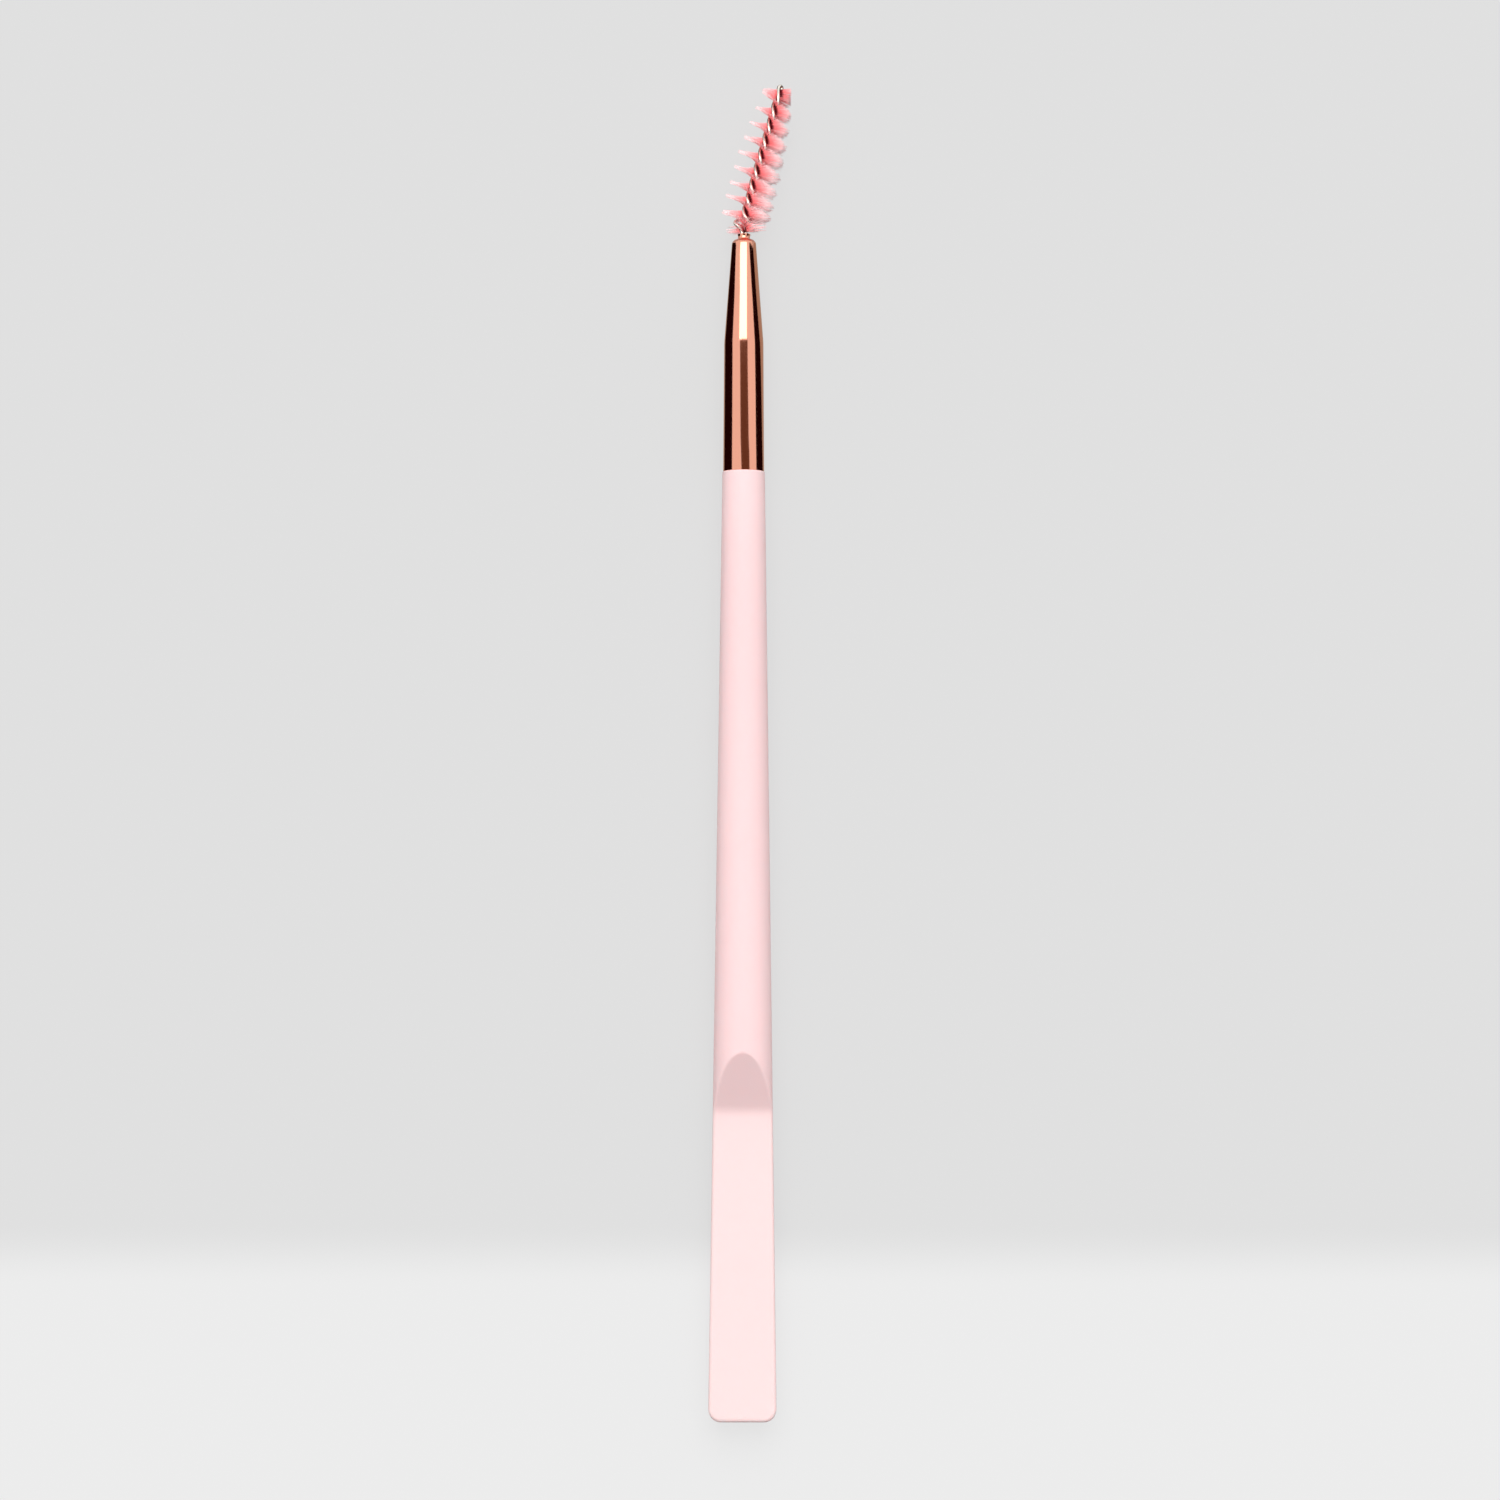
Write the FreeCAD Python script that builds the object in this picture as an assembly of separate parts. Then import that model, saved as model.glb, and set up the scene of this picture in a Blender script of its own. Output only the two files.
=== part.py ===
import FreeCAD, Part
import math
import os

from FreeCAD import Vector

# Dual-ended brow applicator, in millimetres: a flat blade at one end, a twisted-wire brush at the other.
# It lies on a table along Y, brush towards +Y, blade face up.
# The parts are drawn about a level axis, with y = 0 at the seam where the ferrule's rim meets the handle,
# and are moved onto the table at the end.

# Handle
handle_length = 124.4
shoulder_d = 5.56
blade_end_width = 9.0
shoulder_chamfer = 0.2
tenon_length = 14.0
tenon_chamfer = 0.5

# Blade and the two scoops that leave it standing
blade_length = 41.4
blade_thickness = 1.6
blade_corner_radius = 1.7
blade_edge_round = 0.5
ramp_angle = 23.0
ramp_foot_radius = 4.5

# Ferrule
ferrule_length = 30.8
barrel_length = 16.9
barrel_d = 5.14
nose_d = 3.08
nose_round = 0.66
collar_d = 1.7
collar_height = 0.35
ferrule_wall = 0.25
nose_wall = 0.5

# Glue inside the ferrule's cone
plug_start = 23.0

# Twisted wire: its strands wind round a core line that leaves the ferrule and is bent twice, towards +X
wire_d = 0.46
twist_pitch = 4.06
twist_start_angle = 162.7
stem_start = 21.0
mouth_bend_angle = 6.5
mouth_bend_radius = 8.0
neck_run = 4.2
lean_bend_angle = 10.5
lean_bend_radius = 9.0
tip_run = 13.0
untwist_length = 1.6

# Bristles: each filament lies across the wire, pinched between its strands
filament_thickness = 0.085
filament_spacing = 0.1
filament_overlap = 0.006
bristle_start_gap = 0.25
bristle_end_gap = 1.4
bristle_reach_base = 3.25
bristle_reach_middle = 3.0
bristle_reach_tip = 2.1

# Clearances
fit_gap = 0.02
pinch_gap = 0.0125

# How near an edge has to be to a plane to be taken as lying in it
flat_tolerance = 0.02

# Facets of the ferrule's nose and of the wire
nose_flats = 3
wire_sides = 6
steps_per_turn = 8
steps_round_loop = 6

up = Vector(0, 0, 1)
wire_r = wire_d / 2
strand_r = wire_r + filament_thickness / 2 + pinch_gap
twist_r = strand_r + wire_r


def rounded_wire(points, radii):
    """Close a polygon in the YZ plane, with an arc of the given radius at each corner (0 keeps it sharp)."""
    edges = []
    starts = []
    ends = []
    for i, (corner, radius) in enumerate(zip(points, radii)):
        back = (points[i - 1] - corner).normalize()
        ahead = (points[(i + 1) % len(points)] - corner).normalize()
        if radius <= 0:
            starts.append(corner)
            ends.append(corner)
            continue
        half = back.getAngle(ahead) / 2
        run = radius / math.tan(half)
        start = corner + back * run
        end = corner + ahead * run
        middle_way = (back + ahead).normalize()
        middle = corner + middle_way * (radius / math.sin(half) - radius)
        edges.append(Part.Arc(start, middle, end).toShape())
        starts.append(start)
        ends.append(end)
    for i, end in enumerate(ends):
        target = starts[(i + 1) % len(starts)]
        if end.distanceToPoint(target) > 1e-6:
            edges.append(Part.LineSegment(end, target).toShape())
    return Part.Wire(Part.__sortEdges__(edges))


def turned(profile):
    """Turn a half profile, given as (radius, y) pairs, about the Y axis."""
    corners = [Vector(0, y, r) for r, y in profile]
    outline = Part.makePolygon(corners + corners[:1])
    return Part.Face(outline).revolve(Vector(0, 0, 0), Vector(0, 1, 0), 360)


def scoop(turn):
    """The block taken off one side of the handle, which leaves the blade's face, the ramp's foot and the ramp."""
    face_z = blade_thickness / 2
    foot_y = blade_length - handle_length
    top_z = blade_end_width
    ramp_y = foot_y + (top_z - face_z) / math.tan(math.radians(ramp_angle))
    end_y = -handle_length - blade_end_width
    side = [
        Vector(0, end_y, face_z),
        Vector(0, foot_y, face_z),
        Vector(0, ramp_y, top_z),
        Vector(0, end_y, top_z),
    ]
    block = Part.Face(rounded_wire(side, (0, ramp_foot_radius, 0, 0)))
    block.translate(Vector(-blade_end_width, 0, 0))
    block = block.extrude(Vector(2 * blade_end_width, 0, 0))
    block.rotate(Vector(0, 0, 0), Vector(0, 1, 0), turn)
    return block


def end_corner_edges(shape):
    """The two short edges that stand at the corners of the blade's end."""
    found = []
    for edge in shape.Edges:
        box = edge.BoundBox
        if box.YMax < -handle_length + flat_tolerance and box.ZLength > blade_thickness / 2:
            found.append(edge)
    return found


def scoop_outline_edges(shape):
    """The edges that run round the blade's two faces and up over the arches of their ramps."""
    found = []
    for edge in shape.Edges:
        box = edge.BoundBox
        crosses_the_middle = box.ZMin < 0 < box.ZMax
        lies_across_a_ramp = box.YLength < flat_tolerance and box.YMin > -handle_length + flat_tolerance
        on_the_cone = box.YMax > blade_length / 2 - handle_length and abs(edge.CenterOfMass.x) < flat_tolerance
        whole_arch = box.XLength > shoulder_d
        if crosses_the_middle or lies_across_a_ramp:
            continue
        if on_the_cone and not whole_arch:
            continue
        found.append(edge)
    return found


def make_handle():
    tenon_r = barrel_d / 2 - ferrule_wall - fit_gap
    body = turned(
        [
            (0, -handle_length),
            (blade_end_width / 2, -handle_length),
            (shoulder_d / 2, -shoulder_chamfer),
            (shoulder_d / 2 - shoulder_chamfer, 0),
            (tenon_r, 0),
            (tenon_r, tenon_length - tenon_chamfer),
            (tenon_r - tenon_chamfer, tenon_length),
            (0, tenon_length),
        ]
    )
    body = body.cut(scoop(0)).cut(scoop(180))
    body = body.makeFillet(blade_corner_radius, end_corner_edges(body))
    return body.makeFillet(blade_edge_round, scoop_outline_edges(body))


def ferrule_profile(side_inset, top_inset):
    """Half profile of the ferrule, or of what lies inside it when it is inset at the sides and under the nose."""
    top_y = ferrule_length - top_inset
    end_y = ferrule_length + collar_height
    return [
        (0, 0),
        (barrel_d / 2 - side_inset, 0),
        (barrel_d / 2 - side_inset, barrel_length),
        (nose_d / 2 - side_inset, top_y),
        (collar_d / 2 - side_inset, top_y),
        (collar_d / 2 - side_inset, end_y),
        (0, end_y),
    ]


def rounded_nose():
    """The nose's corner, rounded off in a few flats, as (radius, y) pairs."""
    slope = math.atan((barrel_d - nose_d) / 2 / (ferrule_length - barrel_length))
    centre_r = nose_d / 2 - nose_round / math.tan(math.pi / 4 + slope / 2)
    centre_y = ferrule_length - nose_round
    points = []
    for i in range(nose_flats + 1):
        angle = slope + (math.pi / 2 - slope) * i / nose_flats
        points.append((centre_r + nose_round * math.cos(angle), centre_y + nose_round * math.sin(angle)))
    return points


def make_ferrule():
    outline = ferrule_profile(0, 0)
    sharp_nose = (nose_d / 2, ferrule_length)
    corner = outline.index(sharp_nose)
    outline[corner : corner + 1] = rounded_nose()
    outside = turned(outline)
    inside = turned(ferrule_profile(ferrule_wall, nose_wall))
    return outside.cut(inside)


def make_plug():
    fill = turned(ferrule_profile(ferrule_wall + fit_gap, nose_wall + fit_gap))
    height = ferrule_length - nose_wall - fit_gap - plug_start
    span = Part.makeCylinder(barrel_d, height, Vector(0, plug_start, 0), Vector(0, 1, 0))
    bore = Part.makeCylinder(twist_r + fit_gap, ferrule_length, Vector(0, 0, 0), Vector(0, 1, 0))
    return fill.common(span).cut(bore)


def core_runs():
    """The core line as (length, turn in degrees) runs, from the end of the stem to the tip."""
    straight = ferrule_length + collar_height - stem_start
    mouth_bend = math.radians(mouth_bend_angle) * mouth_bend_radius
    lean_bend = math.radians(lean_bend_angle) * lean_bend_radius
    return (
        (straight, 0),
        (mouth_bend, mouth_bend_angle),
        (neck_run, 0),
        (lean_bend, lean_bend_angle),
        (tip_run, 0),
    )


core_length = sum(length for length, turn in core_runs())


def core_at(u):
    """Point, forward direction and sideways direction of the core line at the length u."""
    point = Vector(0, stem_start, 0)
    heading = 0.0
    left = u
    for length, turn in core_runs():
        step = min(left, length)
        turned_by = math.radians(turn) * step / length
        chord = step
        if turned_by:
            chord = step * math.sin(turned_by / 2) / (turned_by / 2)
        way = heading + turned_by / 2
        point = point + Vector(math.sin(way), math.cos(way), 0) * chord
        heading += turned_by
        left -= step
        if left <= 0:
            break
    forward = Vector(math.sin(heading), math.cos(heading), 0)
    sideways = Vector(math.cos(heading), -math.sin(heading), 0)
    return point, forward, sideways


def twist_at(u):
    """Angle of the twist, left-handed, which dies away over the last stretch before the loop."""
    turned_u = u
    into = u - (core_length - untwist_length)
    if into > 0:
        share = into / untwist_length
        turned_u = u - into + untwist_length * (share - share**3 + share**4 / 2)
    return math.radians(twist_start_angle) - 2 * math.pi * turned_u / twist_pitch


def across(u, angle):
    """Direction square to the core line, at an angle from straight up."""
    sideways = core_at(u)[2]
    return up * math.cos(angle) + sideways * math.sin(angle)


def wire_path():
    """Points and directions along the wire: up one strand, round the loop at the tip, down the other strand."""
    step_count = int(core_length / twist_pitch * steps_per_turn)
    core = []
    arms = []
    for i in range(step_count + 1):
        u = core_length * i / step_count
        core.append(core_at(u)[0])
        arms.append(across(u, twist_at(u)) * strand_r)
    forward = core_at(core_length)[1]
    path = [point + arm for point, arm in zip(core, arms)]
    for i in range(1, steps_round_loop):
        angle = math.pi * i / steps_round_loop
        path.append(core[-1] + arms[-1] * math.cos(angle) + forward * (strand_r * math.sin(angle)))
    path += [point - arm for point, arm in zip(reversed(core), reversed(arms))]
    ahead = path[1:] + path[-1:]
    behind = path[:1] + path[:-1]
    return path, [(b - a).normalize() for a, b in zip(behind, ahead)]


def make_wire():
    """The folded wire as one solid, with rings of the wire's section carried along its path."""
    side = Vector(1, 0, 0)
    rings = []
    for point, way in zip(*wire_path()):
        side = (side - way * side.dot(way)).normalize()
        other = way.cross(side)
        ring = []
        for i in range(wire_sides):
            angle = 2 * math.pi * i / wire_sides
            ring.append(point + side * (wire_r * math.cos(angle)) + other * (wire_r * math.sin(angle)))
        rings.append(Part.makePolygon(ring + ring[:1]))
    return Part.makeLoft(rings, True, True)


def bristle_reach(share):
    """Reach of the bristles from the wire at a share of the brush's length, through three given reaches."""
    if share < 0.5:
        return bristle_reach_base + (bristle_reach_middle - bristle_reach_base) * share * 2
    return bristle_reach_middle + (bristle_reach_tip - bristle_reach_middle) * (share * 2 - 1)


def make_filament(u, reach):
    """A filament across the wire, thickest where it is pinched and running out to a point at both ends."""
    centre, forward, sideways = core_at(u)
    along = across(u, twist_at(u) + math.pi / 2)
    thick = forward.cross(along)
    base = centre - forward * ((filament_spacing + filament_overlap) / 2)
    corners = [
        base + along * reach,
        base + thick * (filament_thickness / 2),
        base - along * reach,
        base - thick * (filament_thickness / 2),
    ]
    outline = Part.makePolygon(corners + corners[:1])
    return Part.Face(outline).extrude(forward * (filament_spacing + filament_overlap))


def make_bristles():
    first_u = ferrule_length + collar_height + bristle_start_gap - stem_start
    length = core_length - bristle_end_gap - first_u
    count = int(length / filament_spacing)
    filaments = []
    for i in range(count + 1):
        share = i / count
        filaments.append(make_filament(first_u + i * filament_spacing, bristle_reach(share)))
    return filaments[0].fuse(filaments[1:])


def main():
    pieces = {
        "handle": make_handle(),
        "ferrule": make_ferrule(),
        "stem_glue": make_plug(),
        "brush_wire": make_wire(),
        "bristles": make_bristles(),
    }
    box = FreeCAD.BoundBox()
    for shape in pieces.values():
        box.add(shape.optimalBoundingBox(False))
    onto_table = Vector(-box.Center.x, -box.Center.y, -box.ZMin)
    os.makedirs("parts", exist_ok=True)
    for name, shape in pieces.items():
        shape.translate(onto_table)
        shape.exportStep(f"parts/{name}.step")
        print(name, "solids", len(shape.Solids), "valid", shape.isValid(), "volume", round(shape.Volume, 3))
    print("size", round(box.XLength, 3), round(box.YLength, 3), round(box.ZLength, 3))
    face_middle = Vector(0, blade_length / 2 - handle_length, blade_thickness / 2) + onto_table
    print("middle of the blade's upper face", [round(v, 4) for v in face_middle])


main()
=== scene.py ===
import math

import bmesh
import bpy
import numpy as np
from bpy.props import FloatProperty, FloatVectorProperty, IntProperty, PointerProperty
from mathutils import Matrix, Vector


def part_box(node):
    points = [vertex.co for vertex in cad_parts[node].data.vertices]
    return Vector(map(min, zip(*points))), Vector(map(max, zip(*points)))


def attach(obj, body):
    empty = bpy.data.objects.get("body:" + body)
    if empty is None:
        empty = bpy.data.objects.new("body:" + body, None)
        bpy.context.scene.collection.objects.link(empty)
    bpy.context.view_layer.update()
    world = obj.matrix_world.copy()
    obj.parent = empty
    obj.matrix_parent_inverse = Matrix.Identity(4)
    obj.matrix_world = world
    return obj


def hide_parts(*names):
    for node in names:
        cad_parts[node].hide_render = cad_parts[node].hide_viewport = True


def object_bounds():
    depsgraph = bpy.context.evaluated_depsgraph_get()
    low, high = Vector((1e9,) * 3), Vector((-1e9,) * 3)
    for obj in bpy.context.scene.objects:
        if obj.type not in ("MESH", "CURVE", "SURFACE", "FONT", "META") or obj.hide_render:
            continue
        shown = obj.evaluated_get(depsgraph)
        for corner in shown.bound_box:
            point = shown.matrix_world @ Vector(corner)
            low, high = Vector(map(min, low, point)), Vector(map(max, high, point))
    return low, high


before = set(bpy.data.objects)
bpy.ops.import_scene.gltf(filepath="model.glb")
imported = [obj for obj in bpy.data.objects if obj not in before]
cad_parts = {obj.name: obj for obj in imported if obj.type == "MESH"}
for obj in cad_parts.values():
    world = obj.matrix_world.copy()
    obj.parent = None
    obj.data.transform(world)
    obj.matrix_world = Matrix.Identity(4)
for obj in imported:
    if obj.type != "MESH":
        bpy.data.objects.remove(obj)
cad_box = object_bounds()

bl_info = {
    "name": "Dual-ended brow applicator",
    "version": (1, 0, 0),
    "blender": (4, 5, 0),
    "location": "3D View > Sidebar > Brow applicator",
    "description": "Models the looks of the brow applicator round its packed parts and lights it",
    "category": "Object",
}

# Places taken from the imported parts, in metres
ferrule_low, ferrule_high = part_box("ferrule")
handle_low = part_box("handle")[0]
seam_y = ferrule_low[1]
axis_x = (ferrule_low[0] + ferrule_high[0]) / 2
axis_z = (ferrule_low[2] + ferrule_high[2]) / 2
handle_length = seam_y - handle_low[1]

mm = 0.001

# Points nearer than this are merged, and only edges sharper than this angle stay sharp
merge_distance = 0.001 * mm
smooth_angle = math.radians(35)
wire_smooth_angle = math.radians(40)


# Properties


def length(name, description, default):
    return FloatProperty(name=name, description=description, default=default, unit="LENGTH", precision=5)


def number(name, description, default):
    return FloatProperty(name=name, description=description, default=default)


def angle_in_degrees(name, description, degrees):
    return FloatProperty(name=name, description=description, default=math.radians(degrees), subtype="ANGLE")


def colour(name, description, default):
    return FloatVectorProperty(
        name=name, description=description, default=default, subtype="COLOR", size=3, min=0, max=1
    )


class HandleProperties(bpy.types.PropertyGroup):
    shoulder_radius: length("Shoulder radius", "Radius where the handle meets the ferrule", 2.78 * mm)
    end_radius: length("End radius", "Half the blade's width at its end", 4.497 * mm)
    shoulder_round: length("Shoulder round", "Rounding of the shoulder under the ferrule", 0.08 * mm)
    blade_length: length("Blade length", "From the blade's end to the foot of the ramp", 40.75 * mm)
    blade_thickness: length("Blade thickness", "Thickness of the flat blade", 1.6 * mm)
    corner_radius: length("Corner radius", "Rounding of the blade's corners in plan", 1.7 * mm)
    edge_round: length("Edge round", "Rounding of the blade's long edges and of the arch", 0.5 * mm)
    foot_radius: length("Foot radius", "Radius where the blade runs into the ramp", 4.5 * mm)
    ramp_angle: angle_in_degrees("Ramp angle", "Slope of the ramp", 20.6)
    tenon_radius: length("Tenon radius", "Radius of the tenon inside the ferrule", 2.3 * mm)
    tenon_length: length("Tenon length", "Length of the tenon inside the ferrule", 14 * mm)
    sides: IntProperty(name="Sides", description="Sides of the round grip", default=128)
    pink: colour("Pink", "Main colour of the matt plastic", (1.0, 0.715, 0.72))
    deep_pink: colour("Deep pink", "Colour the plastic drifts to in places", (0.99, 0.69, 0.695))
    pale_pink: colour("Pale pink", "Colour of the thin blade", (1.0, 0.735, 0.73))
    roughness: number("Roughness", "Roughness of the matt plastic", 0.5)


class FerruleProperties(bpy.types.PropertyGroup):
    rim_radius: length("Rim radius", "Radius of the barrel at the seam", 2.68 * mm)
    barrel_radius: length("Barrel radius", "Radius of the barrel at the bend", 2.57 * mm)
    barrel_length: length("Barrel length", "From the seam to the bend", 16.9 * mm)
    total_length: length("Length", "From the seam to the top of the nose", 30.4 * mm)
    bend_radius: length("Bend radius", "Radius of the bend between barrel and taper", 12 * mm)
    nose_radius: length("Nose radius", "Radius of the taper where it would meet the nose", 1.54 * mm)
    nose_round: length("Nose round", "Rounding of the nose", 0.66 * mm)
    collar_radius: length("Collar radius", "Radius of the small collar round the wire", 0.85 * mm)
    collar_height: length("Collar height", "Height of the collar above the nose", 0.75 * mm)
    wall: length("Wall", "Thickness of the tube", 0.25 * mm)
    nose_wall: length("Nose wall", "Thickness of the tube under the nose", 0.5 * mm)
    sides: IntProperty(name="Sides", description="Steps round the ferrule", default=160)
    rose_gold: colour("Rose gold", "Colour of the polished metal", (0.86, 0.39, 0.27))
    roughness: number("Roughness", "Roughness of the polish", 0.11)


class WireProperties(bpy.types.PropertyGroup):
    radius: length("Wire radius", "Radius of the steel wire", 0.24 * mm)
    strand_radius: length("Strand radius", "From the core line to the middle of a strand", 0.265 * mm)
    pitch: length("Pitch", "Length of one whole turn of the twist", 4.12 * mm)
    stem_start: length("Stem start", "Where the stem ends inside the ferrule, from the seam", 21 * mm)
    rise: length("Rise", "Straight run out of the ferrule", 1.55 * mm)
    mouth_radius: length("Mouth bend", "Radius of the bend above the ferrule", 6 * mm)
    neck_run: length("Neck run", "Straight run between the two bends", 3.6 * mm)
    lean_radius: length("Lean bend", "Radius of the second bend", 9 * mm)
    tip_run: length("Tip run", "Straight run up to the loop", 12.85 * mm)
    untwist: length("Untwist", "Stretch over which the twist dies away", 0.35 * mm)
    spread: length("Spread", "How far one strand bulges out just above the ferrule", 0.95 * mm)
    spread_height: length("Spread height", "Where that bulge lies above the ferrule", 1.6 * mm)
    spread_width: length("Spread width", "Half the height of that bulge", 0.75 * mm)
    base_hold: length("Base hold", "Height above the ferrule at which the twist starts", 1.3 * mm)
    base_even: length("Base even", "Height above the ferrule from which the twist is even", 6.3 * mm)
    base_rate: number("Base rate", "Twist between these heights, as a share of the even twist", 1.136)
    start_angle: angle_in_degrees("Start angle", "Where the twist starts", 161)
    mouth_angle: angle_in_degrees("Mouth angle", "Turn of the first bend", 15)
    lean_angle: angle_in_degrees("Lean angle", "Turn of the second bend", 1)
    tip_slack: angle_in_degrees("Tip slack", "Turn by which the tip is short of the even twist", 45)
    steel: colour("Steel", "Colour of the wire", (0.93, 0.87, 0.78))
    roughness: number("Roughness", "Roughness of the wire", 0.22)


class BristleProperties(bpy.types.PropertyGroup):
    filament_radius: length("Filament radius", "Radius of a filament at the wire", 0.036 * mm)
    tip_radius: length("Tip radius", "Radius of a filament at its tip", 0.016 * mm)
    start_gap: length("Start gap", "From the collar to the first bristles", 0.25 * mm)
    end_gap: length("End gap", "From the last bristles to the loop", 0.15 * mm)
    reach_base: length("Reach at the base", "Length of the bristles at the base", 3.25 * mm)
    reach_middle: length("Reach in the middle", "Length of the bristles half way up", 3.0 * mm)
    reach_tip: length("Reach at the tip", "Length of the bristles at the tip", 2.1 * mm)
    trim_base: length("Trim offset at the base", "How far the trimmed round lies towards +X", 0.35 * mm)
    trim_tip: length("Trim offset at the tip", "The same at the tip", 0.06 * mm)
    splay: number("Splay", "Spread of the bristles below the twist, in radians", 0.95)
    count: IntProperty(name="Filaments", description="Filaments that cross the wire", default=1500)
    seed: IntProperty(name="Seed", description="Seed of the bristles' small differences", default=7)
    # Painted shade: this dark maroon stands in for the wire's shadow and the shade deep between the strands
    # on the bristles' roots
    painted_gap_shade: colour("Heart colour", "Colour of the bristles deep between the strands", (0.16, 0.006, 0.012))
    # Partly painted shade: the deeper pink near the wire is the nylon's own pink, darkened to stand in for
    # the shade among the dense roots
    root: colour("Root colour", "Colour of the bristles near the wire", (1.0, 0.24, 0.25))
    tip: colour("Tip colour", "Colour of the bristles at their tips", (1.0, 0.69, 0.7))


class StageProperties(bpy.types.PropertyGroup):
    upper_grey: colour("Upper grey", "Backdrop towards the brush", (0.79, 0.79, 0.79))
    lower_grey: colour("Lower grey", "Backdrop towards the blade", (0.89, 0.89, 0.89))
    fold_start: length("Fold start", "Where the backdrop starts to turn paler", -62.2 * mm)
    fold_end: length("Fold end", "Where the backdrop has turned paler", -70.9 * mm)
    camera_height: length("Camera height", "Camera above the tool's axis", 319.6 * mm)
    lens: number("Lens", "Focal length in millimetres", 58.56)
    key_strength: number("Key strength", "Strength of the soft key light", 2.3)
    brush_strength: number("Brush strength", "Strength of the soft lamp over the bristles", 2.1)
    sky_strength: number("Sky strength", "Strength of the light all round", 1.0)


# Small helpers for working in the scene


def deselect():
    if bpy.context.mode != "OBJECT":
        bpy.ops.object.mode_set(mode="OBJECT")
    bpy.ops.object.select_all(action="DESELECT")


def make_active(piece):
    deselect()
    piece.select_set(True)
    bpy.context.view_layer.objects.active = piece


def named(name):
    piece = bpy.context.object
    piece.name = name
    piece.data.name = name
    return piece


def select_only(piece, kind, wanted):
    """Select in edit mode only the edges, or faces, for which wanted(part) is true."""
    bpy.ops.mesh.select_mode(type=kind)
    bpy.ops.mesh.select_all(action="DESELECT")
    mesh = bmesh.from_edit_mesh(piece.data)
    for part in mesh.edges if kind == "EDGE" else mesh.faces:
        part.select = wanted(part)
    bmesh.update_edit_mesh(piece.data)


def close_up(angle=smooth_angle):
    """Merge the doubles of the piece in edit mode, turn its faces outwards and shade it smooth."""
    bpy.ops.mesh.select_all(action="SELECT")
    bpy.ops.mesh.remove_doubles(threshold=merge_distance)
    bpy.ops.mesh.normals_make_consistent(inside=False)
    bpy.ops.object.mode_set(mode="OBJECT")
    bpy.ops.object.shade_smooth_by_angle(angle=angle)


def dress(piece, node, material):
    """Give a finished piece its material and its body, and hide the node it stands for."""
    piece.data.materials.clear()
    piece.data.materials.append(material)
    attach(piece, "root")
    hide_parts(node)


# Shared effects


def new_group(name, inputs, outputs):
    group = bpy.data.node_groups.new(name, "ShaderNodeTree")
    for label, kind, default in inputs:
        socket = group.interface.new_socket(name=label, in_out="INPUT", socket_type=kind)
        if default is not None:
            socket.default_value = default
    for label, kind in outputs:
        group.interface.new_socket(name=label, in_out="OUTPUT", socket_type=kind)
    start = group.nodes.new("NodeGroupInput")
    end = group.nodes.new("NodeGroupOutput")
    return group, start, end


def colour_drift_group():
    """Drifts softly between two colours over the surface."""
    group, start, end = new_group(
        "Colour drift",
        (
            ("Vector", "NodeSocketVector", None),
            ("Scale", "NodeSocketFloat", 60.0),
            ("First", "NodeSocketColor", None),
            ("Second", "NodeSocketColor", None),
        ),
        (("Colour", "NodeSocketColor"),),
    )
    noise = group.nodes.new("ShaderNodeTexNoise")
    noise.inputs["Detail"].default_value = 3
    mix = group.nodes.new("ShaderNodeMix")
    mix.data_type = "RGBA"
    link = group.links.new
    link(start.outputs["Vector"], noise.inputs["Vector"])
    link(start.outputs["Scale"], noise.inputs["Scale"])
    link(noise.outputs["Fac"], mix.inputs["Factor"])
    link(start.outputs["First"], mix.inputs["A"])
    link(start.outputs["Second"], mix.inputs["B"])
    link(mix.outputs["Result"], end.inputs["Colour"])
    return group


def fine_grain_group():
    """Height and roughness of a fine moulded grain."""
    group, start, end = new_group(
        "Fine grain",
        (
            ("Vector", "NodeSocketVector", None),
            ("Scale", "NodeSocketFloat", 4000.0),
            ("Low", "NodeSocketFloat", 0.4),
            ("High", "NodeSocketFloat", 0.5),
        ),
        (("Height", "NodeSocketFloat"), ("Roughness", "NodeSocketFloat")),
    )
    noise = group.nodes.new("ShaderNodeTexNoise")
    noise.inputs["Detail"].default_value = 2
    spread = group.nodes.new("ShaderNodeMapRange")
    link = group.links.new
    link(start.outputs["Vector"], noise.inputs["Vector"])
    link(start.outputs["Scale"], noise.inputs["Scale"])
    link(noise.outputs["Fac"], spread.inputs["Value"])
    link(start.outputs["Low"], spread.inputs["To Min"])
    link(start.outputs["High"], spread.inputs["To Max"])
    link(noise.outputs["Fac"], end.inputs["Height"])
    link(spread.outputs["Result"], end.inputs["Roughness"])
    return group


def new_material(name):
    material = bpy.data.materials.new(name)
    material.use_nodes = True
    shader = material.node_tree.nodes["Principled BSDF"]
    return material, material.node_tree, shader


def empty_material(name):
    material = bpy.data.materials.new(name)
    material.use_nodes = True
    material.node_tree.nodes.clear()
    return material, material.node_tree


def place_group(tree, group, **values):
    node = tree.nodes.new("ShaderNodeGroup")
    node.node_tree = group
    for label, value in values.items():
        node.inputs[label].default_value = value
    return node


def add_bump(tree, shader, height, distance, strength):
    bump = tree.nodes.new("ShaderNodeBump")
    bump.inputs["Distance"].default_value = distance
    bump.inputs["Strength"].default_value = strength
    tree.links.new(height, bump.inputs["Height"])
    tree.links.new(bump.outputs["Normal"], shader.inputs["Normal"])


def rgba(value):
    return (*value, 1)


# Materials

# Half the stretch round the ramp's foot over which the plastic turns paler
paling_reach = 3 * mm

# How bright the darker streaks of the steel are
dark_steel = 0.82

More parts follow.
